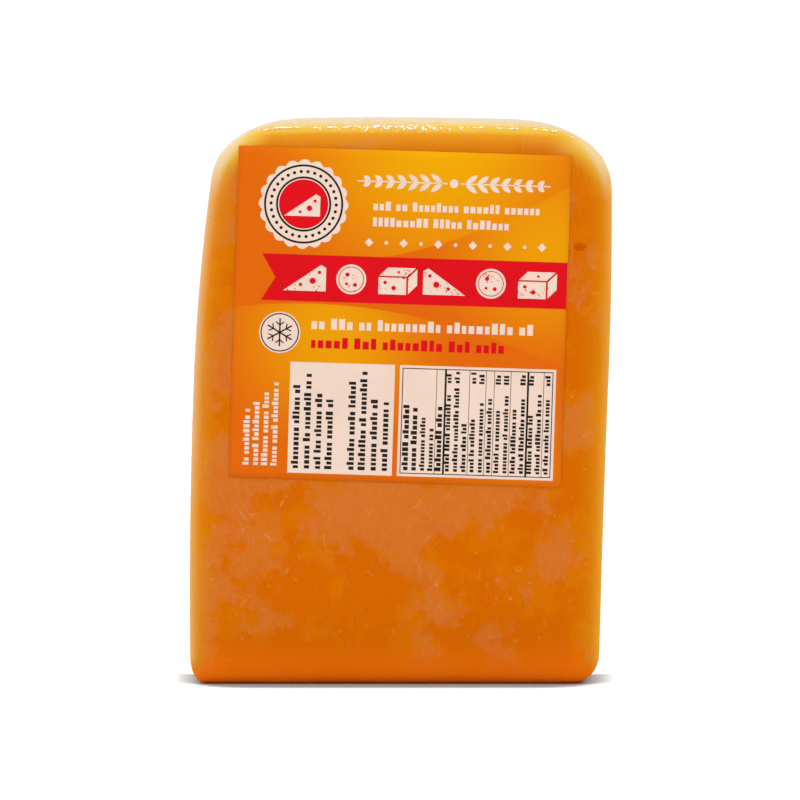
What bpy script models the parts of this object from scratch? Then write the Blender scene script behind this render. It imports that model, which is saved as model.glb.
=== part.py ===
"""Block of orange cheddar in tight clear film, standing on its small end.

The block was cut as a plain slab, and the film has drawn its top corners round. A square
paper label, stuck on a little askew, covers most of the upper front. The front faces -Y,
the block stands on z = 0, and the whole is centred on the Z axis.
"""

import math

import bmesh
import bpy

# The slab, in metres
HEIGHT = 0.188
WIDTH = 0.140
DEPTH = 0.081

# How its sides run: widest a little above the middle, narrower at both ends,
# and leaning to the right towards the top
WIDEST_AT = 0.54
BASE_NARROWING = 0.0009
TOP_NARROWING = 0.0040
LEAN_STRAIGHT = 0.0006
LEAN_CURVED = 0.0063

# Width and height that each rounded corner takes from the outline at half depth.
# The top corners are tighter at the front and rounder at the back.
TOP_LEFT_CORNER = (0.0260, 0.0205)
TOP_RIGHT_CORNER = (0.0306, 0.0247)
BASE_LEFT_CORNER = (0.0057, 0.0095)
BASE_RIGHT_CORNER = (0.0100, 0.0110)
CORNER_POWER = 2.3
ROUNDER_BEHIND = 0.13

# Rounding between the front or the back and the rim, at the base, sides and top
BASE_EDGE = 0.0032
SIDE_EDGE = 0.0060
TOP_EDGE = 0.0068

# Swelling of each face at its middle, and the dip of the top edge towards its corners
FACE_CROWN = 0.0010
SIDE_CROWN = 0.0006
TOP_CROWN = 0.0008
TOP_DIP = 0.0014
TOP_PEAK_AT = -0.15
WAVE_HEIGHT = 0.00025
WAVE_LENGTH = 0.055

# The label: a square of paper, placed from the middle of the block's foot. It is too
# stiff to follow all of the front's rounding at the top left corner.
LABEL_SIDE = 0.1112
LABEL_MIDDLE = (0.0018, 0.1235)
LABEL_TURN = math.radians(1.8)
LABEL_THICKNESS = 0.0004
LABEL_FOLLOWS = 0.4
GAP = 0.0003

# Grid lines over each half side of the slab
EDGE_LINES = 3
LINES_ACROSS = 8
LINES_UP = 10
LINES_DEEP = 3
LABEL_LINES = 14

# Colours, as linear red, green and blue
CHEDDAR_ORANGE = (0.68, 0.17, 0.012, 1.0)
LABEL_AMBER = (0.84, 0.27, 0.012, 1.0)


def half_width(rise):
    """Half the slab's width at a share of its height."""
    if rise < WIDEST_AT:
        return WIDTH / 2 - BASE_NARROWING * ((WIDEST_AT - rise) / WIDEST_AT) ** 2
    return WIDTH / 2 - TOP_NARROWING * ((rise - WIDEST_AT) / (1 - WIDEST_AT)) ** 2


def lean(rise):
    """How far the slab's middle has moved to the right at a share of its height."""
    return LEAN_STRAIGHT * rise + LEAN_CURVED * rise ** 2


def corner_share(across, deep, up):
    """A corner's width and height as shares of the slab's half width and half height."""
    if up > 0:
        width, height = TOP_LEFT_CORNER if across < 0 else TOP_RIGHT_CORNER
        growth = 1 + ROUNDER_BEHIND * deep
        return growth * width / half_width(1.0), growth * height / (HEIGHT / 2)
    width, height = BASE_LEFT_CORNER if across < 0 else BASE_RIGHT_CORNER
    return width / half_width(0.0), height / (HEIGHT / 2)


def inside_outline(across, deep, up):
    """Whether a point of the square from -1 to 1 is inside its rounded corners."""
    if max(abs(across), abs(up)) > 1.0:
        return False
    width, height = corner_share(across, deep, up)
    past_width = (abs(across) - (1 - width)) / width
    past_height = (abs(up) - (1 - height)) / height
    if min(past_width, past_height) <= 0:
        return True
    return past_width ** CORNER_POWER + past_height ** CORNER_POWER <= 1.0


def outline_reach(across, deep, up):
    """Share of the way to the square's rim at which the rounded outline is met."""
    rim = max(abs(across), abs(up))
    near, far = 0.5 / rim, 1.0 / rim
    if inside_outline(across * far, deep, up * far):
        return 1.0
    for _ in range(40):
        middle = (near + far) / 2
        if inside_outline(across * middle, deep, up * middle):
            near = middle
        else:
            far = middle
    return near * rim


def edge_rounding(up):
    """Rounding of the front and back edges at a height from -1 to 1."""
    if up < 0:
        return SIDE_EDGE + (BASE_EDGE - SIDE_EDGE) * up ** 4
    return SIDE_EDGE + (TOP_EDGE - SIDE_EDGE) * up ** 4


def waves(x, z):
    """Shallow waves that run over the large faces."""
    turn = 2 * math.pi / WAVE_LENGTH
    slow = math.sin(turn * (x + 0.4 * z)) * math.cos(0.8 * turn * (z - 0.3 * x) + 1.0)
    return WAVE_HEIGHT * slow


def face_swell(x, z):
    """How far the front and back stand out at a place on them."""
    sideways = max(0.0, 1 - (x / (WIDTH / 2)) ** 2)
    upwards = max(0.0, 1 - ((z - HEIGHT / 2) / (HEIGHT / 2)) ** 2)
    spread = math.sqrt(sideways * upwards)
    return spread * (FACE_CROWN + waves(x, z))


def block_point(across, deep, up):
    """Place on the slab of a point on the cube from -1 to 1."""
    share = max(abs(across), abs(up))
    reach = outline_reach(across, deep, up) if share > 0 else 1.0
    rim_across = across / share * reach if share > 0 else 1.0
    rim_up = up / share * reach if share > 0 else 0.0
    radius = math.hypot(rim_across * WIDTH / 2, rim_up * HEIGHT / 2)
    rounding = edge_rounding(rim_up)
    past_rim = max(0.0, share * radius - (radius - rounding))
    past_face = max(0.0, abs(deep) * DEPTH / 2 - (DEPTH / 2 - rounding))
    shrink = rounding / math.hypot(past_rim, past_face) if min(past_rim, past_face) > 0 else 1.0
    outward = (share * radius - past_rim + past_rim * shrink) / radius
    y = math.copysign(abs(deep) * DEPTH / 2 - past_face + past_face * shrink, deep)
    s, t = rim_across * outward, rim_up * outward
    rise = (t + 1) / 2
    middle_of_depth = 1 - (y / (DEPTH / 2)) ** 2
    x = lean(rise) + s * (half_width(rise) - SIDE_CROWN * (1 - middle_of_depth))
    dip = TOP_DIP * (s - TOP_PEAK_AT) ** 2 + TOP_CROWN * (1 - middle_of_depth)
    z = HEIGHT * rise - dip * rise ** 6
    return x, y + deep * face_swell(x, z), z


def front_fall(x, z):
    """How far the front's rounded edge falls back at a place on the front."""
    rise = z / HEIGHT
    for _ in range(4):
        s = (x - lean(rise)) / (half_width(rise) - SIDE_CROWN)
        dip = TOP_DIP * (s - TOP_PEAK_AT) ** 2 + TOP_CROWN
        rise = (z + dip * rise ** 6) / HEIGHT
    t = 2 * rise - 1
    share = max(abs(s), abs(t))
    reach = outline_reach(s, -1.0, t)
    rim_across, rim_up = s / share * reach, t / share * reach
    radius = math.hypot(rim_across * WIDTH / 2, rim_up * HEIGHT / 2)
    rounding = edge_rounding(rim_up)
    past_rim = max(0.0, share / reach * radius - (radius - rounding))
    return rounding - math.sqrt(max(0.0, rounding ** 2 - past_rim ** 2))


def plain_material(name, colour, roughness):
    """Principled material of one colour."""
    material = bpy.data.materials.new(name)
    material.use_nodes = True
    shader = material.node_tree.nodes["Principled BSDF"]
    shader.inputs["Base Color"].default_value = colour
    shader.inputs["Roughness"].default_value = roughness
    shader.inputs["Metallic"].default_value = 0.0
    return material


def add_object(name, mesh, material, parent):
    """Turn a bmesh into a smooth-shaded object below its parent."""
    data = bpy.data.meshes.new(name)
    bmesh.ops.recalc_face_normals(mesh, faces=mesh.faces[:])
    mesh.to_mesh(data)
    mesh.free()
    data.materials.append(material)
    data.shade_smooth()
    data.set_sharp_from_angle(angle=math.radians(50))
    piece = bpy.data.objects.new(name, data)
    piece.parent = parent
    bpy.context.collection.objects.link(piece)
    return piece


def grid_cuts(inner_lines, edge_share):
    """Places of the cuts across one side of the cube, closer together in its edges."""
    inner = 1 - edge_share
    cuts = [inner * step / inner_lines for step in range(inner_lines + 1)]
    cuts += [inner + edge_share * step / EDGE_LINES for step in range(1, EDGE_LINES)]
    return sorted(set(cuts + [-cut for cut in cuts]))


def make_block(parent):
    """The film-wrapped slab: a cube cut into a grid and drawn to the slab's shape."""
    mesh = bmesh.new()
    bmesh.ops.create_cube(mesh, size=2.0)
    sides = (
        (LINES_ACROSS, SIDE_EDGE / (WIDTH / 2)),
        (LINES_DEEP, SIDE_EDGE / (DEPTH / 2)),
        (LINES_UP, SIDE_EDGE / (HEIGHT / 2)),
    )
    for axis, (inner_lines, edge_share) in enumerate(sides):
        direction = [0.0, 0.0, 0.0]
        direction[axis] = 1.0
        for cut in grid_cuts(inner_lines, edge_share):
            everything = mesh.verts[:] + mesh.edges[:] + mesh.faces[:]
            place = [cut * part for part in direction]
            bmesh.ops.bisect_plane(mesh, geom=everything, plane_co=place, plane_no=direction)
    for vertex in mesh.verts:
        vertex.co = block_point(*vertex.co)
    material = plain_material("wrapped_cheddar", CHEDDAR_ORANGE, 0.3)
    return add_object("wrapped_block", mesh, material, parent)


def make_label(parent):
    """The square of paper, laid on the front and given its thickness."""
    mesh = bmesh.new()
    bmesh.ops.create_grid(mesh, x_segments=LABEL_LINES, y_segments=LABEL_LINES, size=LABEL_SIDE / 2)
    turn_across, turn_up = math.cos(LABEL_TURN), math.sin(LABEL_TURN)
    for vertex in mesh.verts:
        right, up = vertex.co.x, vertex.co.y
        x = LABEL_MIDDLE[0] + right * turn_across + up * turn_up
        z = LABEL_MIDDLE[1] - right * turn_up + up * turn_across
        front = DEPTH / 2 + face_swell(x, z) - LABEL_FOLLOWS * front_fall(x, z)
        vertex.co = (x, -front - GAP, z)
    material = plain_material("printed_paper", LABEL_AMBER, 0.45)
    label = add_object("label", mesh, material, parent)
    if label.data.polygons[0].normal.y > 0:
        label.data.flip_normals()
    thickness = label.modifiers.new("thickness", "SOLIDIFY")
    thickness.thickness = LABEL_THICKNESS
    thickness.offset = 1.0
    return label


def centre_on_axis(parent, pieces):
    """Move the parent so that the pieces' common box is centred on the Z axis."""
    corners = [vertex.co for piece in pieces for vertex in piece.data.vertices]
    front = min(corner.y for corner in corners) - LABEL_THICKNESS
    back = max(corner.y for corner in corners)
    left = min(corner.x for corner in corners)
    right = max(corner.x for corner in corners)
    parent.location = (-(left + right) / 2, -(front + back) / 2, 0.0)


for old_object in list(bpy.data.objects):
    bpy.data.objects.remove(old_object, do_unlink=True)

pack = bpy.data.objects.new("cheddar_pack", None)
bpy.context.collection.objects.link(pack)
block = make_block(pack)
label = make_label(pack)
centre_on_axis(pack, [block, label])
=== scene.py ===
"""A block of orange cheddar in clear vacuum film, standing on its small end.

A square printed paper label covers most of its upper front. The front faces -Y.
"""

import math
import random

import bmesh
import bpy
import numpy as np
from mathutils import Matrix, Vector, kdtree, noise


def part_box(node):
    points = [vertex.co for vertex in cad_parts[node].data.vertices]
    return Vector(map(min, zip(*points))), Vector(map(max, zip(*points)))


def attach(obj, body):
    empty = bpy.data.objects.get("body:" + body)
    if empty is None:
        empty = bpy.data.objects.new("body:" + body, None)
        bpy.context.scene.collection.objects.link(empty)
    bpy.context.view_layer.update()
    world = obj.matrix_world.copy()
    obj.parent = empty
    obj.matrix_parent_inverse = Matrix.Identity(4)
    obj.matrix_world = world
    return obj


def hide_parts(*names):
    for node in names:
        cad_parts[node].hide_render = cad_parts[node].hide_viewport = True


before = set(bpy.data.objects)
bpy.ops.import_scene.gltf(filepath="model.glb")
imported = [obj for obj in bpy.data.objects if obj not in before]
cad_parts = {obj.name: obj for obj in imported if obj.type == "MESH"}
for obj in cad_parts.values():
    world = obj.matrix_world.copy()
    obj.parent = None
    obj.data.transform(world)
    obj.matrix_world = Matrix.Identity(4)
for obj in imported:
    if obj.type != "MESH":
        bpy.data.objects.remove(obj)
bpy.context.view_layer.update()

millimetre = 0.001


# The cheese: one block of pressed orange cheddar, cut square from a bigger block. It stands on
# its flat small end and leans a little to the right. The pull of the vacuum has rounded its
# top corners and its long edges, and the wet film gives it a cloudy bloom in patches.
solid_low, solid_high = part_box("wrapped_block")
width_in_box = 0.98216
depth_in_box = 0.97022
slab_height = solid_high.z - solid_low.z
slab_width = width_in_box * (solid_high.x - solid_low.x)
slab_depth = depth_in_box * (solid_high.y - solid_low.y)
widest_at = 0.54
base_narrowing = 0.9 * millimetre
top_narrowing = 4.0 * millimetre
lean_straight = 0.6 * millimetre
lean_curved = 6.3 * millimetre
top_left_corner = (26.0 * millimetre, 20.5 * millimetre)
top_right_corner = (30.6 * millimetre, 24.7 * millimetre)
base_left_corner = (5.7 * millimetre, 9.5 * millimetre)
base_right_corner = (10.0 * millimetre, 11.0 * millimetre)
corner_power = 2.3
rounder_behind = 0.13
base_edge = 3.2 * millimetre
side_edge = 6.0 * millimetre
top_edge = 6.8 * millimetre
face_crown = 1.0 * millimetre
side_crown = 0.6 * millimetre
top_crown = 0.8 * millimetre
top_dip = 1.4 * millimetre
top_peak_at = -0.15
wave_height = 0.25 * millimetre
wave_length = 55 * millimetre
film_gap = 0.08 * millimetre


def half_width(rise):
    """Half the block's width at a share of its height."""
    below = np.maximum(widest_at - rise, 0) / widest_at
    above = np.maximum(rise - widest_at, 0) / (1 - widest_at)
    return slab_width / 2 - base_narrowing * below ** 2 - top_narrowing * above ** 2


def lean(rise):
    """How far the block's middle has moved to the right at a share of its height."""
    return lean_straight * rise + lean_curved * rise ** 2


def corner_shares(across, deep, up):
    """Each corner's width and height as shares of the block's half width and half height."""
    top = [np.where(across < 0, left, right) for left, right in zip(top_left_corner, top_right_corner)]
    base = [np.where(across < 0, left, right) for left, right in zip(base_left_corner, base_right_corner)]
    growth = 1 + rounder_behind * deep
    width = np.where(up > 0, growth * top[0] / half_width(1.0), base[0] / half_width(0.0))
    height = np.where(up > 0, growth * top[1], base[1]) / (slab_height / 2)
    return width, height


def outline_reach(across, deep, up):
    """Share of the way to a square's rim at which the block's rounded outline is met."""
    rim = np.maximum(np.maximum(np.abs(across), np.abs(up)), 1e-9)
    across, up = across / rim, up / rim
    width, height = corner_shares(across, deep, up)

    def outside(reach):
        """Whether places at shares of the way to the square's rim are past the rounding."""
        past_width = np.maximum((np.abs(across) * reach - 1 + width) / width, 0)
        past_height = np.maximum((np.abs(up) * reach - 1 + height) / height, 0)
        power = past_width ** corner_power + past_height ** corner_power
        return (past_width > 0) & (past_height > 0) & (power > 1)

    near, far = np.full(across.shape, 0.5), np.ones(across.shape)
    cut_off = outside(far)
    for _ in range(30):
        middle = (near + far) / 2
        beyond = outside(middle)
        near, far = np.where(beyond, near, middle), np.where(beyond, middle, far)
    return np.where(cut_off, near, 1.0)


def edge_rounding(up):
    """Rounding of the front and back edges at a height from -1 to 1."""
    end = np.where(up < 0, base_edge, top_edge)
    return side_edge + (end - side_edge) * up ** 4


def face_swell(x, z):
    """How far the front and back stand out at a place on them, with their shallow waves."""
    sideways = np.maximum(0, 1 - (x / (slab_width / 2)) ** 2)
    upwards = np.maximum(0, 1 - ((z - slab_height / 2) / (slab_height / 2)) ** 2)
    turn = 2 * math.pi / wave_length
    waves = np.sin(turn * (x + 0.4 * z)) * np.cos(0.8 * turn * (z - 0.3 * x) + 1.0)
    return np.sqrt(sideways * upwards) * (face_crown + wave_height * waves)


def slab_points(across, deep, up):
    """Places on the block of points on a cube from -1 to 1."""
    share = np.maximum(np.maximum(np.abs(across), np.abs(up)), 1e-9)
    reach = outline_reach(across, deep, up)
    rim_across, rim_up = across / share * reach, up / share * reach
    radius = np.hypot(rim_across * slab_width / 2, rim_up * slab_height / 2)
    rounding = edge_rounding(rim_up)
    past_rim = np.maximum(0, share * radius - (radius - rounding))
    past_face = np.maximum(0, np.abs(deep) * slab_depth / 2 - (slab_depth / 2 - rounding))
    in_rounding = (past_rim > 0) & (past_face > 0)
    shrink = np.where(in_rounding, rounding / np.maximum(np.hypot(past_rim, past_face), 1e-9), 1.0)
    outward = (share * radius - past_rim + past_rim * shrink) / radius
    y = np.sign(deep) * (np.abs(deep) * slab_depth / 2 - past_face + past_face * shrink)
    s, t = rim_across * outward, rim_up * outward
    rise = (t + 1) / 2
    off_middle = (y / (slab_depth / 2)) ** 2
    x = lean(rise) + s * (half_width(rise) - side_crown * off_middle)
    dip = top_dip * (s - top_peak_at) ** 2 + top_crown * off_middle
    z = slab_height * rise - dip * rise ** 6
    return np.stack([x, y + deep * face_swell(x, z), z], axis=1)


def side_cuts(length, edge, spacing, edge_cuts):
    """Places from -1 to 1 to cut one side of a cube, closer together in its two edges."""
    inner = 1 - 2 * edge / length
    middle = np.linspace(-inner, inner, max(2, round(inner * length / spacing)) + 1)
    rim = inner + (1 - inner) * np.arange(1, edge_cuts + 1) / edge_cuts
    return np.concatenate([-rim[::-1], middle, rim])


def cube_grid(cuts):
    """Points and four-sided faces over a cube, cut at the given places along X, Y and Z."""
    points, faces = [], []
    for axis in range(3):
        first, second = cuts[(axis + 1) % 3], cuts[(axis + 2) % 3]
        for side in (-1.0, 1.0):
            start = sum(len(part) for part in points)
            grid = np.zeros((len(first), len(second), 3))
            grid[..., axis] = side
            grid[..., (axis + 1) % 3] = first[:, None]
            grid[..., (axis + 2) % 3] = second[None, :]
            number = start + np.arange(grid[..., 0].size).reshape(grid.shape[:2])
            around = [number[:-1, :-1], number[1:, :-1], number[1:, 1:], number[:-1, 1:]]
            quads = np.stack([part.ravel() for part in around], axis=1)
            points.append(grid.reshape(-1, 3))
            faces.append(quads if side > 0 else quads[:, ::-1])
    joined, same = np.unique(np.round(np.concatenate(points), 6), axis=0, return_inverse=True)
    return joined, same.ravel()[np.concatenate(faces)]


def slab_grid(spacing, edge_cuts):
    """Points and four-sided faces over the block."""
    cuts = (
        side_cuts(slab_width, side_edge, spacing, edge_cuts),
        side_cuts(slab_depth, top_edge, spacing, edge_cuts),
        side_cuts(slab_height, top_edge, spacing, edge_cuts),
    )
    cube, faces = cube_grid(cuts)
    return slab_points(cube[:, 0], cube[:, 1], cube[:, 2]), faces


def new_piece(name, points, faces):
    """A smooth-shaded object from arrays of points and faces."""
    data = bpy.data.meshes.new(name)
    data.from_pydata(points.tolist(), [], faces.tolist())
    data.shade_smooth()
    piece = bpy.data.objects.new(name, data)
    bpy.context.collection.objects.link(piece)
    return piece


def point_normals(piece):
    """Outward directions at a piece's points."""
    normals = np.zeros(len(piece.data.vertices) * 3, dtype=np.float32)
    piece.data.vertex_normals.foreach_get("vector", normals)
    return normals.reshape(-1, 3).astype(float)


def place_points(piece, points):
    """Move a piece's points."""
    piece.data.vertices.foreach_set("co", points.astype(np.float32).ravel())
    piece.data.update()


def cloud(points, size, seed):
    """Smooth random values from about -1 to 1 at the points, for lumps of a size in metres."""
    offset = 17.3 * seed
    scaled = points / size + offset
    return np.array([noise.noise(place) for place in scaled.tolist()])


# The solid is centred on its own box, so every piece is moved sideways by this much
rough_points, _ = slab_grid(3 * millimetre, 4)
rough_middle = (rough_points.min(axis=0) + rough_points.max(axis=0)) / 2
solid_middle = (np.array(solid_low) + np.array(solid_high)) / 2
to_frame = np.array([solid_middle[0] - rough_middle[0], solid_middle[1] - rough_middle[1], 0.0])

cheese_points, cheese_faces = slab_grid(1.35 * millimetre, 6)
cheese = new_piece("cheese", cheese_points, cheese_faces)
cheese_normals = point_normals(cheese)

# What the press left in the cheese: low lumps, wide shallow dents, and one open eye right of
# the label
dent_count = 110
lump_size = 14 * millimetre
lump_height = 0.06 * millimetre
eye_depth = 0.5 * millimetre
chance = random.Random(5)
sunk = np.zeros(len(cheese_points))
for _ in range(dent_count):
    place = cheese_points[chance.randrange(len(cheese_points))]
    wide = chance.uniform(1.6, 4.5) * millimetre
    away = np.linalg.norm(cheese_points - place, axis=1)
    sunk += chance.uniform(0.01, 0.05) * wide * np.exp(-2 * (away / wide) ** 2)
eye_place = np.array([61.9 * millimetre, -slab_depth / 2, 146.8 * millimetre])
eye_shape = np.array([2.2, 4.0, 1.4]) * millimetre
eye_away = np.linalg.norm((cheese_points - eye_place) / eye_shape, axis=1)
eye = np.exp(-eye_away ** 4)
lumps = lump_height * cloud(cheese_points, lump_size, 1)
inset = film_gap + sunk + eye_depth * eye + np.abs(lumps)
place_points(cheese, cheese_points - cheese_normals * inset[:, None] + to_frame)


rim_reach = 16 * millimetre


def distances_from_rim(points, normals):
    """Distances in from the block's long edges and its outline, in millimetres."""
    turns = np.linspace(-0.3 * math.pi, 1.3 * math.pi, 1400)
    across, up = np.cos(turns), np.sin(turns)
    square = np.maximum(np.abs(across), np.abs(up))
    outline = slab_points(across / square, np.zeros(len(turns)), up / square)
    outline = outline[outline[:, 2] > 9 * millimetre]
    rim_tree = kdtree.KDTree(len(outline))
    for number, place in enumerate(outline):
        rim_tree.insert((place[0], 0.0, place[2]), number)
    rim_tree.balance()
    on_face = np.array([rim_tree.find((x, 0.0, z))[2] for x, _, z in points])
    on_rim = np.clip(slab_depth / 2 - side_edge - np.abs(points[:, 1]), 0, rim_reach)
    return (on_face + on_rim * (1 - 0.75 * np.clip(normals[:, 2], 0, 1))) / millimetre


from_rim = cheese.data.attributes.new("from_rim", "FLOAT", "POINT")
rim_distances = distances_from_rim(cheese_points, cheese_normals)
from_rim.data.foreach_set("value", rim_distances.astype(np.float32))


def set_socket(tree, socket, value):
    """Wire a socket to another one, or give it a plain value."""
    if isinstance(value, bpy.types.NodeSocket):
        tree.links.new(value, socket)
    else:
        socket.default_value = value


def add_node(tree, kind, settings=None, **wires):
    """A shader node with its settings made and its sockets set or wired, by their names."""
    made = tree.nodes.new("ShaderNode" + kind)
    for name, value in (settings or {}).items():
        setattr(made, name, value)
    for name, value in wires.items():
        set_socket(tree, made.inputs[name.replace("_", " ")], value)
    return made


def blend_colours(tree, share, first, second):
    """The colour between two others, by a share from 0 to 1."""
    made = add_node(tree, "Mix", {"data_type": "RGBA"})
    for number, value in ((0, share), (6, first), (7, second)):
        set_socket(tree, made.inputs[number], value)
    return made.outputs[2]


def ramp(tree, value, low, high, to_low=0.0, to_high=1.0):
    """A smooth rise from one value to another while the input runs from low to high."""
    made = add_node(tree, "MapRange", {"interpolation_type": "SMOOTHSTEP"}, Value=value)
    for name, number in (("From Min", low), ("From Max", high), ("To Min", to_low), ("To Max", to_high)):
        made.inputs[name].default_value = number
    return made.outputs["Result"]


def calculate(tree, operation, *values):
    """One step of arithmetic between values."""
    made = add_node(tree, "Math", {"operation": operation})
    for socket, value in zip(made.inputs, values):
        set_socket(tree, socket, value)
    return made.outputs[0]


def new_material(name):
    """An empty node material, its tree and its surface socket."""
    material = bpy.data.materials.new(name)
    material.use_nodes = True
    material.node_tree.nodes.clear()
    output = material.node_tree.nodes.new("ShaderNodeOutputMaterial")
    return material, material.node_tree, output.inputs["Surface"]


def soft_noise(tree, place, size, detail=3.0, distortion=0.0, roughness=0.5):
    """Cloudy values from 0 to 1, with lumps of a size in metres."""
    made = add_node(tree, "TexNoise", Vector=place, Scale=1 / size, Detail=detail,
                    Roughness=roughness, Distortion=distortion)
    return made.outputs["Fac"]


def flowing(tree, place, size, reach):
    """Places pushed about by soft noise, so that a pattern laid on them runs in curls."""
    push = add_node(tree, "TexNoise", Vector=place, Scale=1 / size, Detail=2.0)
    moved = add_node(tree, "VectorMath", {"operation": "MULTIPLY_ADD"})
    for socket, value in zip(moved.inputs, (push.outputs["Color"], (reach,) * 3, place)):
        set_socket(tree, socket, value)
    return moved.outputs[0]


def thin_lines(tree, value, middle, half_width):
    """1 where the value is close to a middle one, and 0 elsewhere."""
    off = calculate(tree, "ABSOLUTE", calculate(tree, "SUBTRACT", value, middle))
    return ramp(tree, off, half_width, 0.3 * half_width)


wet_orange = (0.528, 0.107, 0.0003, 1)
wet_yellow = (0.540, 0.129, 0.0003, 1)
bloom_orange = (0.520, 0.140, 0.0250, 1)
edge_light_amber = (0.590, 0.272, 0.009, 1)
top_light_yellow = (0.58, 0.375, 0.045, 1)
top_sheen_cream = (0.60, 0.480, 0.230, 1)
edge_sheen_colour = (0.58, 0.42, 0.33, 1)
foot_light_orange = (0.74, 0.140, 0.003, 1)
foot_light_red = (0.97, 0.135, 0.005, 1)
eye_shade_orange = (0.46, 0.072, 0.0003, 1)
fleck_tan = (0.62, 0.25, 0.085, 1)
grain_tan = (0.60, 0.150, 0.0003, 1)
bloom_size = 30 * millimetre
island_size = 16 * millimetre
fleck_spacing = 5.5 * millimetre
bubble_size = 4.6 * millimetre
stroke_width = 1.0 * millimetre
grain_size = 0.9 * millimetre


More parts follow.
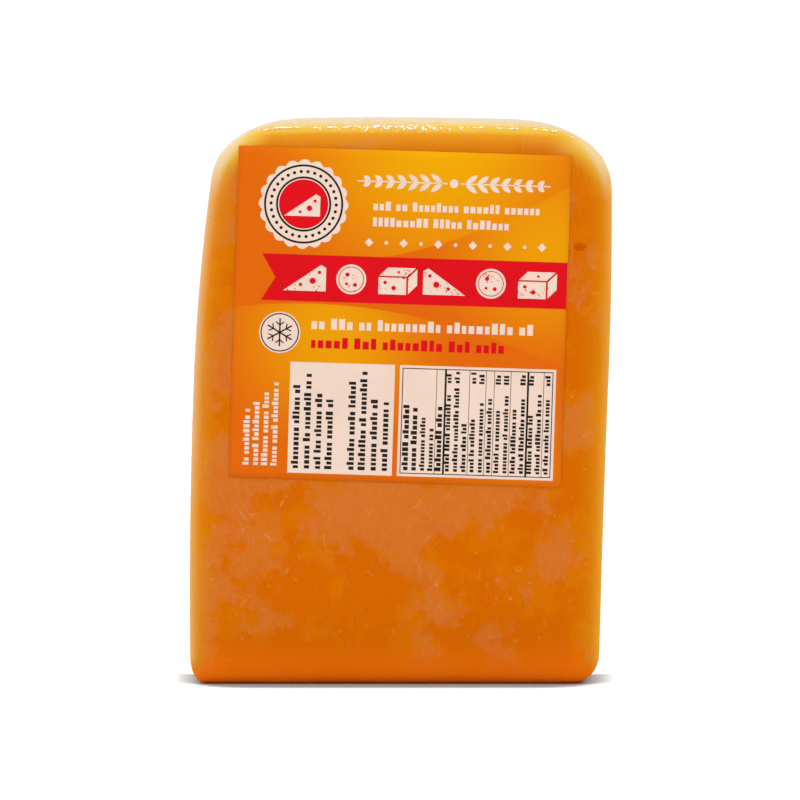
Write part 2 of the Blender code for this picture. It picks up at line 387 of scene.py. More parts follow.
def cheddar_material():
    """Wet orange cheddar with brushed bloom, wisps, bubbles and flecks; painted light on the edges, top and
    foot, a painted sheen at the rims and painted shade in the eye.
    """
    material, tree, surface = new_material("cheddar")
    coordinates = add_node(tree, "TexCoord")
    place = coordinates.outputs["Object"]
    inward = add_node(tree, "Attribute", {"attribute_name": "from_rim"}).outputs["Fac"]
    across, depth, height = add_node(tree, "SeparateXYZ", Vector=place).outputs
    sideways, _, upwards = add_node(tree, "SeparateXYZ", Vector=coordinates.outputs["Normal"]).outputs
    low_down = ramp(tree, height, 0.060, 0.026)
    low_middle = calculate(tree, "MULTIPLY", low_down, ramp(tree, inward, 3.0, 24.0))
    high_up = ramp(tree, height, 0.150, 0.178)

    # Wet cheese, yellower in islands with crisp edges, and yellower higher up as painted light from above
    uneven = flowing(tree, place, 0.005, 0.004)
    islands = soft_noise(tree, uneven, island_size, 6.0, 0.0, 0.6)
    islands = calculate(tree, "MULTIPLY_ADD", low_middle, -0.06, islands)
    islands = calculate(tree, "MULTIPLY_ADD", high_up, 0.06, islands)
    colour = blend_colours(tree, ramp(tree, islands, 0.45, 0.53), wet_orange, wet_yellow)

    # Cloudy bloom where the film has let go a little: in islands too, brushed into fine curls,
    # and thinner at the top, to the right, and low down in the middle
    clouds = soft_noise(tree, uneven, bloom_size, 7.0, 0.0, 0.65)
    clouds = calculate(tree, "MULTIPLY_ADD", low_middle, -0.13, clouds)
    clouds = calculate(tree, "MULTIPLY_ADD", high_up, -0.06, clouds)
    clouds = calculate(tree, "SUBTRACT", clouds, ramp(tree, across, 0.030, 0.062, 0.0, 0.08))
    combed = add_node(tree, "Mapping", Vector=flowing(tree, place, 0.020, 0.026))
    combed.inputs["Rotation"].default_value = (0.0, math.radians(40), math.radians(15))
    combed.inputs["Scale"].default_value = (1.0, 1.0, 0.14)
    strokes = soft_noise(tree, combed.outputs["Vector"], stroke_width, 4.0)
    brushed = ramp(tree, strokes, 0.36, 0.64, 0.45, 1.0)
    bloom = calculate(tree, "MULTIPLY", ramp(tree, clouds, 0.42, 0.50), brushed)
    colour = blend_colours(tree, bloom, colour, bloom_orange)

    # A fine grain, light wisps along the curls, bubbles with a light rim, and pale flecks
    grain = ramp(tree, soft_noise(tree, place, grain_size, 3.0), 0.36, 0.64, 0.0, 0.18)
    colour = blend_colours(tree, grain, colour, grain_tan)
    patchy = ramp(tree, soft_noise(tree, place, 0.014, 2.0), 0.48, 0.60)
    wisps = calculate(tree, "MULTIPLY", ramp(tree, strokes, 0.60, 0.72), patchy)
    colour = blend_colours(tree, calculate(tree, "MULTIPLY", wisps, 0.25), colour, fleck_tan)
    bubbles = soft_noise(tree, place, bubble_size, 2.0, 0.6)
    inside = ramp(tree, bubbles, 0.695, 0.71, 0.0, 0.18)
    rims = calculate(tree, "MAXIMUM", thin_lines(tree, bubbles, 0.70, 0.012), inside)
    colour = blend_colours(tree, calculate(tree, "MULTIPLY", rims, 0.40), colour, fleck_tan)
    curled = flowing(tree, place, 0.003, 0.0022)
    cells = add_node(tree, "TexVoronoi", Vector=curled, Scale=1 / fleck_spacing)
    flecks = ramp(tree, cells.outputs["Distance"], 0.11, 0.05)
    chosen = add_node(tree, "SeparateColor", Color=cells.outputs["Color"])
    few = calculate(tree, "MULTIPLY", ramp(tree, chosen.outputs["Green"], 0.88, 0.92), 0.6)
    colour = blend_colours(tree, calculate(tree, "MULTIPLY", flecks, few), colour, fleck_tan)

    # Painted light: paler towards the sides, where lamps beside the block light its rounded edges,
    # and most on the top, painted as lit from above; a painted sheen at the very edge
    farthest = rim_reach / millimetre
    near_rim = add_node(tree, "MapRange", Value=inward, From_Min=farthest, From_Max=0.0)
    painted_edge_light = calculate(tree, "POWER", near_rim.outputs["Result"], 3.3)
    colour = blend_colours(tree, painted_edge_light, colour, edge_light_amber)
    # Painted light from above on the top and its front and corner edges: pale yellow, with a painted cream
    # sheen of the film towards the back and where the top turns to the sides
    from_middle = calculate(tree, "ABSOLUTE", calculate(tree, "SUBTRACT", across, 0.003))
    near_edge = ramp(tree, inward, 8.5, 1.5, 0.0, 0.90)
    at_corner = calculate(tree, "MULTIPLY", near_edge, ramp(tree, from_middle, 0.042, 0.056))
    below_edge = ramp(tree, height, 0.176, 0.186, 0.0, 0.22)
    top_light = calculate(tree, "MAXIMUM", ramp(tree, upwards, 0.50, 0.88, 0.0, 0.88), at_corner)
    top_light = calculate(tree, "MAXIMUM", top_light, below_edge)
    top_light = calculate(tree, "MULTIPLY", top_light, ramp(tree, height, 0.160, 0.178))
    top_light = calculate(tree, "MULTIPLY", top_light, ramp(tree, islands, 0.36, 0.56, 0.72, 1.0))
    turned_away = ramp(tree, calculate(tree, "ABSOLUTE", sideways), 0.22, 0.60)
    top_sheen = calculate(tree, "MAXIMUM", ramp(tree, depth, -0.036, -0.006, 0.0, 0.62), turned_away)
    top_light_colour = blend_colours(tree, top_sheen, top_light_yellow, top_sheen_cream)
    colour = blend_colours(tree, top_light, colour, top_light_colour)
    # Painted sheen: a whiter reflection of the film painted in the last few millimetres of the edge,
    # stronger on the left, weaker low down, and none on the top
    at_rim = add_node(tree, "MapRange", Value=inward, From_Min=4.5, From_Max=0.0)
    more_left = ramp(tree, across, 0.050, -0.050, 0.15, 0.60)
    more_left = calculate(tree, "MULTIPLY", more_left, ramp(tree, height, 0.050, 0.090, 0.5, 1.0))
    below_top = ramp(tree, height, 0.186, 0.176)
    edge_sheen = calculate(tree, "POWER", at_rim.outputs["Result"], 2.0)
    edge_sheen = calculate(tree, "MULTIPLY", edge_sheen, more_left)
    edge_sheen = calculate(tree, "MULTIPLY", edge_sheen, below_top)
    colour = blend_colours(tree, edge_sheen, colour, edge_sheen_colour)

    # Painted light along the front's foot: brighter and redder there, standing in for the light the shaded
    # table in front doesn't give it
    in_front = ramp(tree, depth, -0.026, -0.036)
    foot = calculate(tree, "MULTIPLY", ramp(tree, height, 0.018, 0.0), ramp(tree, inward, 2.0, 9.0))
    colour = blend_colours(tree, calculate(tree, "MULTIPLY", foot, in_front), colour, foot_light_orange)
    sole = calculate(tree, "MULTIPLY", ramp(tree, height, 0.003, 0.0), in_front)
    colour = blend_colours(tree, sole, colour, foot_light_red)

    # Painted shade in the open eye right of the label: darker orange in its hollow
    ragged_reach = 0.0012
    ragged = flowing(tree, place, 0.002, ragged_reach)
    around_eye = add_node(tree, "Mapping", {"vector_type": "TEXTURE"}, Vector=ragged)
    around_eye.inputs["Location"].default_value = eye_place + to_frame + ragged_reach / 2
    around_eye.inputs["Scale"].default_value = eye_shape
    eye_away = add_node(tree, "VectorMath", {"operation": "LENGTH"}, Vector=around_eye.outputs["Vector"])
    eye_shade = ramp(tree, eye_away.outputs["Value"], 1.1, 0.85, 0.0, 0.9)
    colour = blend_colours(tree, eye_shade, colour, eye_shade_orange)

    bump = add_node(tree, "Bump", Strength=0.10, Distance=0.0003, Height=strokes)
    shader = add_node(tree, "BsdfPrincipled", Base_Color=colour, Normal=bump.outputs["Normal"],
                      Roughness=0.55, Specular_IOR_Level=0.0, Subsurface_Weight=0.2,
                      Subsurface_Radius=(1.0, 0.35, 0.06), Subsurface_Scale=0.006)
    tree.links.new(shader.outputs["BSDF"], surface)
    return material


cheese.data.materials.append(cheddar_material())
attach(cheese, "root")


# The film: one thin clear vacuum bag, drawn tight onto the cheese all over, with shallow
# ripples and a few small blisters of air. It lies flat under the label and on the table.
label_side = 111.2 * millimetre
label_middle = (1.8 * millimetre, 123.5 * millimetre)
label_turn = math.radians(1.8)

film_points, film_faces = slab_grid(1.3 * millimetre, 14)
film = new_piece("film", film_points, film_faces)
film_normals = point_normals(film)
ripple_size = 5 * millimetre
ripple_height = 0.05 * millimetre
blister_count = 70
ripple = ripple_height * np.abs(cloud(film_points, ripple_size, 12))
blisters = np.zeros(len(film_points))
for _ in range(blister_count):
    place = film_points[chance.randrange(len(film_points))]
    wide = chance.uniform(1.0, 2.2) * millimetre
    away = np.linalg.norm(film_points - place, axis=1)
    blisters = np.maximum(blisters, 0.12 * wide * np.exp(-(away / wide) ** 4))
off_right, off_up = film_points[:, 0] - label_middle[0], film_points[:, 2] - label_middle[1]
label_right = off_right * math.cos(label_turn) - off_up * math.sin(label_turn)
label_up = off_right * math.sin(label_turn) + off_up * math.cos(label_turn)
past_label = np.maximum(np.abs(label_right), np.abs(label_up)) - label_side / 2
under_label = (past_label < 0.5 * millimetre) & (film_points[:, 1] < 0)
above_foot = np.clip((film_points[:, 2] - 1.0 * millimetre) / (4 * millimetre), 0, 1)
raised = (ripple + blisters) * above_foot * ~under_label
place_points(film, film_points + film_normals * raised[:, None] + to_frame)


def clear_film_shader(tree, place, straight_gloss):
    """Clear film: more light glances off where it slants away, and the rest goes through."""
    crinkle = soft_noise(tree, place, 0.0011, 3.0, 1.5)
    bump = add_node(tree, "Bump", Strength=0.12, Distance=0.0002, Height=crinkle)
    slant = add_node(tree, "LayerWeight", Blend=0.5, Normal=bump.outputs["Normal"]).outputs["Facing"]
    glance = calculate(tree, "MULTIPLY", calculate(tree, "POWER", slant, 12.0), 0.70)
    share = calculate(tree, "ADD", glance, straight_gloss)
    clear = add_node(tree, "BsdfTransparent").outputs["BSDF"]
    gloss = add_node(tree, "BsdfGlossy", Roughness=0.09, Normal=bump.outputs["Normal"]).outputs["BSDF"]
    return mix_shaders(tree, share, clear, gloss)


def mix_shaders(tree, share, first, second):
    """The surface between two others, by a share from 0 to 1."""
    mixed = add_node(tree, "MixShader")
    for socket, output in zip(mixed.inputs, (share, first, second)):
        tree.links.new(output, socket)
    return mixed.outputs[0]


def film_material():
    """The tight film, which hardly shows on the flat faces."""
    material, tree, surface = new_material("clear_film")
    place = add_node(tree, "TexCoord").outputs["Object"]
    tree.links.new(clear_film_shader(tree, place, 0.0), surface)
    return material


film.data.materials.append(film_material())
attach(film, "root")
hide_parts("wrapped_block")


# The film's pleats: where the bag turns over the top's front and back edges, a fold too small to
# pull flat runs along each, crumpled in the middle. The creased film is painted white along its
# crests: partly stress whitening, partly painted glints.
def top_edge_points(sideways, turn, way):
    """Places round a top edge, from 0 on the front or back to 1 on the top and on over it."""
    level = np.ones(len(sideways))
    reach = outline_reach(sideways, way * level, level)
    radius = reach * np.hypot(sideways * slab_width / 2, slab_height / 2)
    rounding = edge_rounding(reach)
    angle = np.minimum(turn, 1) * math.pi / 2
    share = 1 - rounding * (1 - np.sin(angle)) / radius
    inward = rounding * (1 - np.cos(angle) + np.maximum(turn - 1, 0) * math.pi / 2)
    return slab_points(sideways * share, way * (1 - inward / (slab_depth / 2)), share)


def pleat_material():
    """Film that shines more, painted white along its creases: partly whitening, partly painted glints."""
    material, tree, surface = new_material("creased_film")
    place = add_node(tree, "TexCoord").outputs["Object"]
    crease_whitening_and_glint = add_node(tree, "Attribute", {"attribute_name": "whitening_and_glint"}).outputs["Fac"]
    clear = add_node(tree, "BsdfTransparent").outputs["BSDF"]
    film_shader = clear_film_shader(tree, place, 0.02)
    film_shader = mix_shaders(tree, ramp(tree, crease_whitening_and_glint, 0.02, 0.2), clear, film_shader)
    # Painted glints: the white is broken into dashes along the crests and wrinkles
    broken = ramp(tree, soft_noise(tree, place, 0.0007, 3.0), 0.38, 0.56)
    share = calculate(tree, "MULTIPLY", ramp(tree, crease_whitening_and_glint, 0.15, 0.65), broken)
    white = add_node(tree, "BsdfPrincipled", Roughness=0.3, Base_Color=(0.88, 0.84, 0.77, 1))
    tree.links.new(mix_shaders(tree, share, film_shader, white.outputs["BSDF"]), surface)
    return material


creased_film = pleat_material()
pleat_lift = 0.03 * millimetre
crest_height = 0.40 * millimetre
wrinkle_height = 0.50 * millimetre
wrinkle_size = 0.75 * millimetre
for name, way, middle, strength in (("pleat_front", -1, 0.72, 1.0), ("pleat_back", 1, 0.95, 0.7)):
    start, end = middle - 0.34, middle + 0.26
    pleat_places = np.linspace(-0.93, 0.93, 460)
    pleat_turns = np.linspace(start, end, 46)
    sideways, turn = [grid.ravel() for grid in np.meshgrid(pleat_places, pleat_turns, indexing="ij")]
    pleat_points = top_edge_points(sideways, turn, way)
    number = np.arange(len(sideways)).reshape(len(pleat_places), len(pleat_turns))
    corners = (number[:-1, :-1], number[1:, :-1], number[1:, 1:], number[:-1, 1:])
    pleat_faces = np.stack([corner.ravel() for corner in corners[::-way]], axis=1)
    pleat = new_piece(name, pleat_points, pleat_faces)
    pleat_normals = point_normals(pleat)

    along = pleat_points * [1, 0, 0]
    crumpled = np.exp(-((pleat_points[:, 0] + 2 * millimetre) / (20 * millimetre)) ** 2)
    wander = 0.035 * cloud(along, 15 * millimetre, 21) + 0.025 * cloud(along, 4 * millimetre, 22)
    off_crest = turn - middle - wander
    dashes = 0.38 + 1.6 * cloud(along, 1.6 * millimetre, 23 + way) + 0.4 * cloud(along, 8 * millimetre, 24)
    off_corner = np.abs(pleat_points[:, 0] - 3 * millimetre) - 46 * millimetre
    at_corners = np.exp(-(off_corner / (7 * millimetre)) ** 2)
    dashes = np.clip(dashes + 0.10 * crumpled + 0.35 * at_corners, 0, 1)
    ends = np.clip((0.93 - np.abs(sideways)) / 0.2, 0, 1)
    crest = np.exp(-(off_crest / 0.036) ** 2) * dashes * ends
    flat = np.stack([pleat_points[:, 0], turn * 10.7 * millimetre, 0 * turn], axis=1)
    wrinkles = np.maximum(0, cloud(flat, wrinkle_size, 25)) * np.exp(-(off_crest / 0.18) ** 2)
    wrinkles *= (0.10 + 1.3 * crumpled) * ends
    border = np.clip(np.minimum(turn - start, end - turn) / 0.06, 0, 1)
    height = pleat_lift + (crest_height * crest + wrinkle_height * wrinkles) * strength * border
    place_points(pleat, pleat_points + pleat_normals * height[:, None] + to_frame)
    whitening_and_glint = pleat.data.attributes.new("whitening_and_glint", "FLOAT", "POINT")
    whitening_and_glint_amounts = np.clip(strength * border * (crest + 2 * wrinkles), 0, 1)
    whitening_and_glint.data.foreach_set("value", whitening_and_glint_amounts.astype(np.float32))
    pleat.data.materials.append(creased_film)
    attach(pleat, "root")


# The label: a square of satin paper, printed edge to edge in orange and amber, and stuck on the
# film a little askew. Its top left corner is too stiff to bend all the way round the edge.
label_follows = 0.4
paper_back = 0.03 * millimetre
paper_front = 0.10 * millimetre


def front_fall(x, z):
    """How far the front's rounded edge falls back at places on the front."""
    rise = z / slab_height
    for _ in range(4):
        s = (x - lean(rise)) / (half_width(rise) - side_crown)
        dip = top_dip * (s - top_peak_at) ** 2 + top_crown
        rise = (z + dip * rise ** 6) / slab_height
    t = 2 * rise - 1
    share = np.maximum(np.maximum(np.abs(s), np.abs(t)), 1e-9)
    reach = outline_reach(s, np.full(s.shape, -1.0), t)
    rim_across, rim_up = s / share * reach, t / share * reach
    radius = np.hypot(rim_across * slab_width / 2, rim_up * slab_height / 2)
    rounding = edge_rounding(rim_up)
    past_rim = np.maximum(0, share / reach * radius - (radius - rounding))
    return rounding - np.sqrt(np.maximum(0, rounding ** 2 - past_rim ** 2))


def on_label(right, up, lift):
    """Places over the label of points given as shares of its side, lifted off the film."""
    right, up = np.asarray(right, float) * label_side, np.asarray(up, float) * label_side
    x = label_middle[0] + right * math.cos(label_turn) + up * math.sin(label_turn)
    z = label_middle[1] - right * math.sin(label_turn) + up * math.cos(label_turn)
    y = -slab_depth / 2 - face_swell(x, z) + label_follows * front_fall(x, z) - lift
    return np.stack([x, y, z], axis=1) + to_frame


def lay_on_label(name, mesh, lift):
    """Lay a flat mesh, drawn in shares of the label's side, onto the label as a new piece."""
    flat = np.array([vertex.co[:2] for vertex in mesh.verts])
    for vertex, place in zip(mesh.verts, on_label(flat[:, 0], flat[:, 1], lift)):
        vertex.co = place
    data = bpy.data.meshes.new(name)
    mesh.to_mesh(data)
    mesh.free()
    data.shade_smooth()
    piece = bpy.data.objects.new(name, data)
    bpy.context.collection.objects.link(piece)
    return piece


paper_mesh = bmesh.new()
bmesh.ops.create_grid(paper_mesh, x_segments=48, y_segments=48, size=0.5)
paper = lay_on_label("label_paper", paper_mesh, paper_back)
thickness = paper.modifiers.new("thickness", "SOLIDIFY")
thickness.thickness = paper_front - paper_back
thickness.offset = 1.0 if paper.data.polygons[0].normal.y < 0 else -1.0

sunset_orange = (0.585, 0.105, 0.002, 1)
sunset_amber = (0.660, 0.305, 0.0001, 1)


def label_coordinates(tree):
    """Right and up on the label, as shares of its side from its middle."""
    place = add_node(tree, "TexCoord").outputs["Object"]
    middle = (label_middle[0] + to_frame[0], 0.0, label_middle[1])
    flat = add_node(tree, "Mapping", {"vector_type": "TEXTURE"}, Vector=place, Location=middle,
                    Rotation=(0.0, label_turn, 0.0), Scale=(label_side,) * 3)
    parts = add_node(tree, "SeparateXYZ", Vector=flat.outputs["Vector"])
    return place, parts.outputs["X"], parts.outputs["Z"]


def distance_from(tree, right, up, middle_right, middle_up):
    """Distance on the label from a place on it."""
    off_right = calculate(tree, "SUBTRACT", right, middle_right)
    off_up = calculate(tree, "SUBTRACT", up, middle_up)
    squares = calculate(tree, "MULTIPLY", off_right, off_right)
    return calculate(tree, "SQRT", calculate(tree, "MULTIPLY_ADD", off_up, off_up, squares))


def printed_paper_material():
    """Orange paper with sweeping fields, each with its own amber glow."""
    material, tree, surface = new_material("printed_paper")
    place, right, up = label_coordinates(tree)
    squared = calculate(tree, "MULTIPLY", right, right)
    glow = ramp(tree, distance_from(tree, right, up, 0.10, 0.52), 0.60, 0.0)
    sweeps = (
        (0.19, 0.24, 0.40, (0.44, 0.22), 0.42, 0.75),
        (0.01, -0.16, -0.30, (-0.20, -0.06), 0.40, 0.80),
        (-0.34, 0.20, 0.25, (0.40, -0.50), 0.45, 0.12),
    )
    for level, slope, bend, (glow_right, glow_up), reach, strength in sweeps:
        tilted = calculate(tree, "MULTIPLY_ADD", right, slope, level)
        field_top = calculate(tree, "MULTIPLY_ADD", squared, bend, tilted)
        inside = ramp(tree, calculate(tree, "SUBTRACT", field_top, up), -0.0015, 0.0015)
        away = distance_from(tree, right, up, glow_right, glow_up)
        change = calculate(tree, "SUBTRACT", ramp(tree, away, reach, 0.0, 0.0, strength), glow)
        glow = calculate(tree, "MULTIPLY_ADD", inside, change, glow)
    colour = blend_colours(tree, glow, sunset_orange, sunset_amber)
    fibres = soft_noise(tree, place, 0.0006, 3.0)
    bump = add_node(tree, "Bump", Strength=0.06, Distance=0.0001, Height=fibres)
    shader = add_node(tree, "BsdfPrincipled", Base_Color=colour, Normal=bump.outputs["Normal"],
                      Roughness=0.5, Specular_IOR_Level=0.03)
    tree.links.new(shader.outputs["BSDF"], surface)
    return material


paper.data.materials.append(printed_paper_material())
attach(paper, "root")
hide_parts("label")


# The print: cream, red and black inks laid on the paper. The layout is a plain one: a scalloped
# seal, a sprig, a ribbon with a row of cheeses, rows of little blocks where small print goes,
# and two panels.
ink_lift = 0.115 * millimetre
ink_step = 0.015 * millimetre
ink_cut = 0.024


def bar(left, base, width, height):
    """A plain upright rectangle."""
    return [(left, base), (left + width, base), (left + width, base + height), (left, base + height)]


def disc(x, y, radius, sides=48):
    """A circle."""
    turns = [2 * math.pi * step / sides for step in range(sides)]
    return [(x + radius * math.cos(turn), y + radius * math.sin(turn)) for turn in turns]


def rosette(x, y, radius, scallops, depth):
    """A circle with scallops round its edge."""
    outline = []
    for step in range(12 * scallops):
        turn = 2 * math.pi * step / (12 * scallops)
        reach = radius - depth * (1 - abs(math.cos(scallops * turn / 2)))
        outline.append((x + reach * math.cos(turn), y + reach * math.sin(turn)))
    return outline


def ring(x, y, outer, inner, sides=64):
    """A round line, as a run of small four-sided shapes."""
    shapes = []
    for step in range(sides):
        first, last = 2 * math.pi * step / sides, 2 * math.pi * (step + 1) / sides
        corners = ((inner, first), (outer, first), (outer, last), (inner, last))
        shapes.append([(x + reach * math.cos(turn), y + reach * math.sin(turn)) for reach, turn in corners])
    return shapes


def slanted_bar(start, turn, length, width):
    """A bar from a place, in any direction."""
    along = (length * math.cos(turn), length * math.sin(turn))
    aside = (-width / 2 * math.sin(turn), width / 2 * math.cos(turn))
    x, y = start
    return [
        (x - aside[0], y - aside[1]), (x + along[0] - aside[0], y + along[1] - aside[1]),
        (x + along[0] + aside[0], y + along[1] + aside[1]), (x + aside[0], y + aside[1]),
    ]


def leaf(start, turn, length, width):
    """A pointed leaf from a place, in any direction."""
    outline = []
    for step in range(12):
        along = 0.5 - 0.5 * math.cos(math.pi * step / 6)
        aside = math.copysign(width / 2 * math.sin(math.pi * along) ** 0.8, 6 - step) if along < 1 else 0
        aside = 0 if step == 0 else aside
        outline.append((
            start[0] + length * along * math.cos(turn) - aside * math.sin(turn),
            start[1] + length * along * math.sin(turn) + aside * math.cos(turn),
        ))
    return outline[::-1]


def small_blocks(left, base, width, height, weight=0.5):
    """A row of little blocks, grouped like words, where a line of small print goes."""
    shapes, x = [], left
    while True:
        for _ in range(chance.randint(2, 9)):
            wide = height * weight * chance.uniform(0.8, 1.15)
            if x + wide > left + width:
                return shapes
            shapes.append(bar(x, base, wide, height if chance.random() < 0.3 else 0.72 * height))
            x += wide + 0.2 * height
        x += 0.4 * height


def upright(shapes):
    """Turn shapes a quarter turn, so that rows run up the label."""
    return [[(-y, x) for x, y in shape] for shape in shapes]


def print_ink(name, shapes, layer, material):
    """Print flat shapes on the label as one piece of ink."""
    mesh = bmesh.new()
    for shape in shapes:
        mesh.faces.new([mesh.verts.new((x, y, 0.0)) for x, y in shape])
    mesh.normal_update()
    bmesh.ops.triangulate(mesh, faces=mesh.faces[:])
    for axis in ((1, 0, 0), (0, 1, 0)):
        for step in range(-20, 21):
            everything = mesh.verts[:] + mesh.edges[:] + mesh.faces[:]
            cut = [part * step * ink_cut for part in axis]
            bmesh.ops.bisect_plane(mesh, geom=everything, plane_co=cut, plane_no=axis)
    piece = lay_on_label(name, mesh, ink_lift + layer * ink_step)
    if piece.data.polygons[0].normal.y > 0:
        piece.data.flip_normals()
    piece.data.materials.append(material)
    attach(piece, "root")


def ink_material(name, colour, other, size):
    """Ink that varies a little in strength where the paper took it unevenly."""
    material, tree, surface = new_material(name)
    place = add_node(tree, "TexCoord").outputs["Object"]
    uneven = soft_noise(tree, place, size, 3.0)
    mixed = blend_colours(tree, ramp(tree, uneven, 0.3, 0.7), colour, other)
    shader = add_node(tree, "BsdfPrincipled", Base_Color=mixed, Roughness=0.5, Specular_IOR_Level=0.03)
    tree.links.new(shader.outputs["BSDF"], surface)
    return material


cream_ink = ink_material("cream_ink", (0.69, 0.528, 0.438, 1), (0.66, 0.50, 0.41, 1), 0.012)
red_ink = ink_material("red_ink", (0.575, 0.0040, 0.0090, 1), (0.545, 0.0038, 0.0080, 1), 0.012)
black_ink = ink_material("black_ink", (0.010, 0.009, 0.008, 1), (0.018, 0.016, 0.014, 1), 0.008)

# Cream straight on the paper: the seals, the sprig, two panels, and light small print
seal_x, seal_y = -0.300, 0.330
chill_x, chill_y = -0.360, -0.058
table_left, table_base, table_width, panel_height = 0.005, -0.480, 0.470, 0.335
notes_left, notes_width = -0.325, 0.315
cream_shapes = [rosette(seal_x, seal_y, 0.135, 20, 0.010), disc(chill_x, chill_y, 0.062)]
sprig_middle, sprig_level, sprig_reach = 0.150, 0.405, 0.290
cream_shapes.append(disc(sprig_middle, sprig_level, 0.013, 24))
for way in (-1, 1):
    stem_left = sprig_middle + (0.020 if way > 0 else -sprig_reach)
    cream_shapes.append(bar(stem_left, sprig_level - 0.002, sprig_reach - 0.020, 0.004))
    for step in range(7):
        root = (sprig_middle + way * (0.035 + 0.036 * step), sprig_level)
        for aside in (-1, 1):
            outward = 0 if way > 0 else math.pi
            turn = outward + way * aside * math.radians(38)
            cream_shapes.append(leaf(root, turn, 0.044 - 0.003 * step, 0.016))
cream_shapes += small_blocks(-0.090, 0.318, 0.50, 0.027)
cream_shapes += small_blocks(-0.090, 0.270, 0.42, 0.027)
for step in range(11):
    x = -0.100 + 0.052 * step
    if step % 2 == 0:
        cream_shapes.append([(x + 0.013, 0.221), (x, 0.234), (x - 0.013, 0.221), (x, 0.208)])
    else:
        cream_shapes.append(disc(x, 0.221, 0.0055, 16))
cream_shapes += small_blocks(-0.265, -0.045, 0.68, 0.033)
cream_shapes.append(bar(table_left, table_base, table_width, panel_height))
cream_shapes.append(bar(notes_left, table_base, notes_width, panel_height))
for line in range(4):
    cream_shapes += upright(small_blocks(-0.46, 0.358 + 0.028 * line, 0.26 - 0.03 * line, 0.019))
print_ink("cream_print", cream_shapes, 0, cream_ink)

# Red straight on the paper: the ribbon, which runs off the label's right edge, and a line
ribbon_base, ribbon_height, ribbon_left, notch = 0.038, 0.140, -0.420, 0.042
ribbon_middle = ribbon_base + ribbon_height / 2
ribbon = [
    (ribbon_left, ribbon_base), (0.499, ribbon_base), (0.499, ribbon_base + ribbon_height),
    (ribbon_left, ribbon_base + ribbon_height), (ribbon_left + notch, ribbon_middle),
]
print_ink("red_print", [ribbon] + small_blocks(-0.265, -0.102, 0.60, 0.033), 0, red_ink)
print_ink("seal_middle", [disc(seal_x, seal_y, 0.074)], 1, red_ink)


def wedge(x, y, size, way):
    """A wedge of cheese from the side: a long slanting top over an upright end."""
    outline = ((-0.50, -0.28), (0.50, -0.28), (0.50, 0.27), (0.38, 0.34))
    shape = [(x + way * size * across, y + size * up) for across, up in outline]
    return shape if way > 0 else shape[::-1]


def block(x, y, size):
    """A block of cheese seen from above one corner: its front, top and end."""
    faces = (
        ((-0.50, -0.36), (0.22, -0.36), (0.22, 0.08), (-0.50, 0.08)),
        ((-0.48, 0.12), (0.24, 0.12), (0.46, 0.34), (-0.26, 0.34)),
        ((0.27, -0.34), (0.50, -0.11), (0.50, 0.31), (0.27, 0.08)),
    )
    return [[(x + size * across, y + size * up) for across, up in face] for face in faces]


# Cheeses on the ribbon and the seal, with holes and specks of wear that show red
cheese_shapes = [wedge(seal_x - 0.004, seal_y - 0.006, 0.108, 1)]
worn_shapes = [disc(seal_x + right, seal_y + up, size, 14) for right, up, size in (
    (0.018, -0.012, 0.0085), (0.034, 0.010, 0.0050), (-0.010, -0.024, 0.0045))]
for number in range(6):
    x = -0.290 + 0.140 * number
    way = -1 if number == 3 else 1
    if number % 3 == 0:
        cheese_shapes.append(wedge(x, ribbon_middle - 0.003, 0.128, way))
        holes = ((0.024, -0.008, 0.0095), (0.044, 0.018, 0.0055), (-0.012, -0.020, 0.0055))
    elif number % 3 == 1:
        cheese_shapes.append(disc(x, ribbon_middle, 0.045))
        worn_shapes += ring(x, ribbon_middle, 0.0385, 0.0360, 40)
        holes = ((-0.012, 0.014, 0.0065), (-0.014, -0.014, 0.0045), (0.012, -0.016, 0.0060))
    else:
        cheese_shapes += block(x, ribbon_middle, 0.116)
        holes = ((-0.038, -0.006, 0.0055), (-0.012, -0.022, 0.0070), (0.002, 0.026, 0.0040))
    for right, up, size in holes:
        worn_shapes.append(disc(x + way * right, ribbon_middle + up, size, 16))
for _ in range(26):
    patch = (chance.uniform(-0.35, 0.46), ribbon_middle + chance.uniform(-0.04, 0.04))
    for _ in range(9):
        worn_right, worn_up = chance.gauss(patch[0], 0.012), chance.gauss(patch[1], 0.008)
        if abs(worn_up - ribbon_middle) < 0.06 and worn_right < 0.48:
            worn_shapes.append(disc(worn_right, worn_up, chance.uniform(0.0008, 0.0026), 6))
print_ink("cream_cheeses", cheese_shapes, 2, cream_ink)
print_ink("red_wear", worn_shapes, 3, red_ink)

# Black: lines round the two seals, the snow crystal, and the panels' rules and small print
black_shapes = ring(seal_x, seal_y, 0.119, 0.113) + ring(seal_x, seal_y, 0.083, 0.077)
black_shapes += ring(chill_x, chill_y, 0.058, 0.0545, 40)
for step in range(30):
    turn = 2 * math.pi * step / 30
    black_shapes.append(disc(seal_x + 0.098 * math.cos(turn), seal_y + 0.098 * math.sin(turn), 0.0050, 12))
for arm in range(6):
    turn = math.radians(60 * arm + 30)
    fork = (chill_x + 0.022 * math.cos(turn), chill_y + 0.022 * math.sin(turn))
    black_shapes.append(slanted_bar((chill_x, chill_y), turn, 0.042, 0.0045))
    for aside in (-0.9, 0.9):
        black_shapes.append(slanted_bar(fork, turn + aside, 0.016, 0.0036))

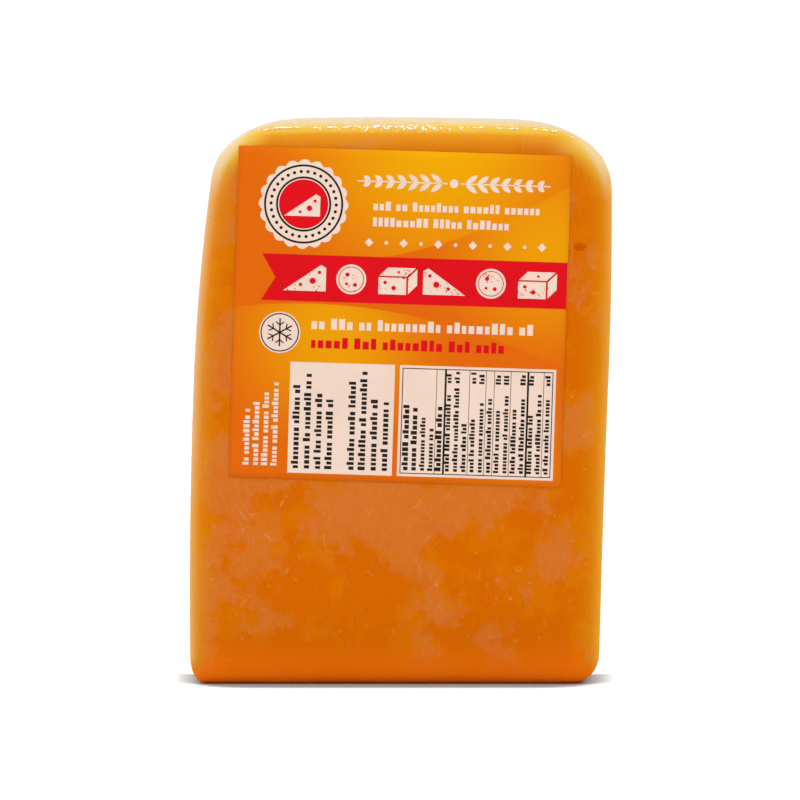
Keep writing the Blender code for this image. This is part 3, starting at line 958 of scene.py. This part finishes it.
rule = 0.0026
inner_left, inner_base = table_left + 0.008, table_base + 0.008
inner_width, inner_height = table_width - 0.016, panel_height - 0.016
black_shapes.append(bar(inner_left, inner_base, inner_width, rule))
black_shapes.append(bar(inner_left, inner_base + inner_height - rule, inner_width, rule))
black_shapes.append(bar(inner_left, inner_base, rule, inner_height))
black_shapes.append(bar(inner_left + inner_width - rule, inner_base, rule, inner_height))
for line in range(18):
    right_edge = inner_left + 0.024 + 0.0248 * line
    bold = line in (0, 1, 4)
    length = inner_height * (0.62 if bold else chance.uniform(0.40, 0.80))
    height, weight = (0.0185, 0.62) if bold else (0.0160, 0.48)
    black_shapes += upright(small_blocks(inner_base + 0.010, -right_edge, length, height, weight))
    if line > 4 and line % 3 != 1:
        amount_base = inner_base + inner_height - 0.042
        black_shapes += upright(small_blocks(amount_base, -right_edge, 0.036, height, weight))
    if line in (3, 4, 7, 9, 10, 12, 14, 16):
        wide = 0.0060 if line in (4, 14) else 0.0016
        black_shapes.append(bar(right_edge + 0.0045, inner_base, wide, inner_height))
for line in range(9):
    if line != 4:
        right_edge = notes_left + 0.032 + 0.0335 * line
        length = panel_height * chance.uniform(0.62, 0.90)
        black_shapes += upright(small_blocks(table_base + 0.014, -right_edge, length, 0.0215, 0.46))
print_ink("black_print", black_shapes, 1, black_ink)


# The studio: a broad table of white acrylic, lit from below, in a white room, its glow dimmed round
# the block's foot as a painted contact shadow. A broad lamp hangs over the block and a narrow one
# behind it, and soft lamps stand in front, on both sides and high on the left.
def studio_floor():
    """The white table that the block stands on."""
    mesh = bmesh.new()
    bmesh.ops.create_grid(mesh, x_segments=2, y_segments=2, size=30.0)
    data = bpy.data.meshes.new("studio_floor")
    mesh.to_mesh(data)
    mesh.free()
    floor = bpy.data.objects.new("studio_floor", data)
    bpy.context.collection.objects.link(floor)
    material, tree, surface = new_material("white_acrylic")
    # Painted contact shadow: the glow is dimmed where the block hides the table, most just in front of it
    # and less beside it; from a little behind the front it stays full, except straight behind the block
    inwards = add_node(tree, "CombineXYZ", X=0.0, Y=0.97, Z=0.25).outputs["Vector"]
    in_front = add_node(tree, "AmbientOcclusion", Distance=0.024, Normal=inwards).outputs["AO"]
    beside = add_node(tree, "AmbientOcclusion", Distance=0.011).outputs["AO"]
    shades = (ramp(tree, in_front, 0.52, 0.70), ramp(tree, beside, 0.45, 0.97, 0.3, 1.0))
    lit = calculate(tree, "MINIMUM", *shades)
    place = add_node(tree, "TexCoord").outputs["Object"]
    across, depth, _ = add_node(tree, "SeparateXYZ", Vector=place).outputs
    behind = ramp(tree, calculate(tree, "ABSOLUTE", across), 0.066, 0.056)
    behind = calculate(tree, "MULTIPLY", behind, ramp(tree, depth, 0.0, 0.02))
    open_floor = calculate(tree, "SUBTRACT", ramp(tree, depth, -0.012, -0.003), behind)
    lit = calculate(tree, "MAXIMUM", lit, open_floor)
    shader = add_node(tree, "BsdfPrincipled", Base_Color=(0.25, 0.25, 0.25, 1), Roughness=0.6,
                      Specular_IOR_Level=0.0, Emission_Color=(1, 1, 1, 1),
                      Emission_Strength=calculate(tree, "MULTIPLY", lit, 0.95))
    tree.links.new(shader.outputs["BSDF"], surface)
    floor.data.materials.append(material)


def area_lamp(name, place, aim, width, height, watts):
    """A soft rectangular lamp at a place, facing an aim."""
    lamp = bpy.data.lights.new(name, "AREA")
    lamp.shape = "RECTANGLE"
    lamp.size, lamp.size_y = width, height
    lamp.energy = watts
    holder = bpy.data.objects.new(name, lamp)
    holder.location = place
    direction = np.array(aim) - np.array(place)
    holder.rotation_euler = (math.atan2(math.hypot(direction[0], direction[1]), -direction[2]), 0,
                             math.atan2(direction[1], direction[0]) - math.pi / 2)
    bpy.context.collection.objects.link(holder)


studio_floor()
area_lamp("overhead_lamp", (0.0, -0.3, 1.75), (0.0, 0.0, 0.15), 1.2, 0.8, 11.2)
area_lamp("strip_lamp", (0.0, 1.0, 1.75), (0.0, 0.0, 0.15), 1.2, 0.12, 5.0)
area_lamp("front_lamp", (0.0, -1.6, 1.1), (0.0, 0.0, 0.1), 1.6, 0.8, 5.0)
area_lamp("left_lamp", (-1.7, -1.0, 0.6), (0.0, 0.0, 0.1), 0.7, 1.4, 7.8)
area_lamp("right_lamp", (1.7, -1.0, 0.6), (0.0, 0.0, 0.1), 0.7, 1.4, 9.0)
area_lamp("corner_lamp", (-1.4, -0.5, 1.3), (0.0, 0.0, 0.15), 0.7, 0.7, 3.6)

world = bpy.data.worlds.new("white_room")
world.use_nodes = True
room_tree = world.node_tree
direction = add_node(room_tree, "TexCoord").outputs["Generated"]
_, backwards, _ = add_node(room_tree, "SeparateXYZ", Vector=direction).outputs
room = room_tree.nodes["Background"]
room.inputs["Color"].default_value = (1, 1, 1, 1)
room_tree.links.new(ramp(room_tree, backwards, -1.0, -0.2, 0.35, 1.0), room.inputs["Strength"])
bpy.context.scene.world = world
bpy.context.scene.view_settings.view_transform = "Standard"


# The camera: three metres in front of the block and a little above it, with a long lens. The
# picture's width and the focal length are in pixels.
picture_width = 800
focal_length = 8865.6
camera_place = (0.0018 + to_frame[0], -3.0, 0.302)
looking_down = 3.99
camera_data = bpy.data.cameras.new("camera")
camera_data.sensor_width = 36
camera_data.lens = focal_length * camera_data.sensor_width / picture_width
camera_data.clip_end = 200
camera = bpy.data.objects.new("camera", camera_data)
camera.location = camera_place
camera.rotation_euler = (math.radians(90 - looking_down), 0, 0)
bpy.context.collection.objects.link(camera)
bpy.context.scene.camera = camera
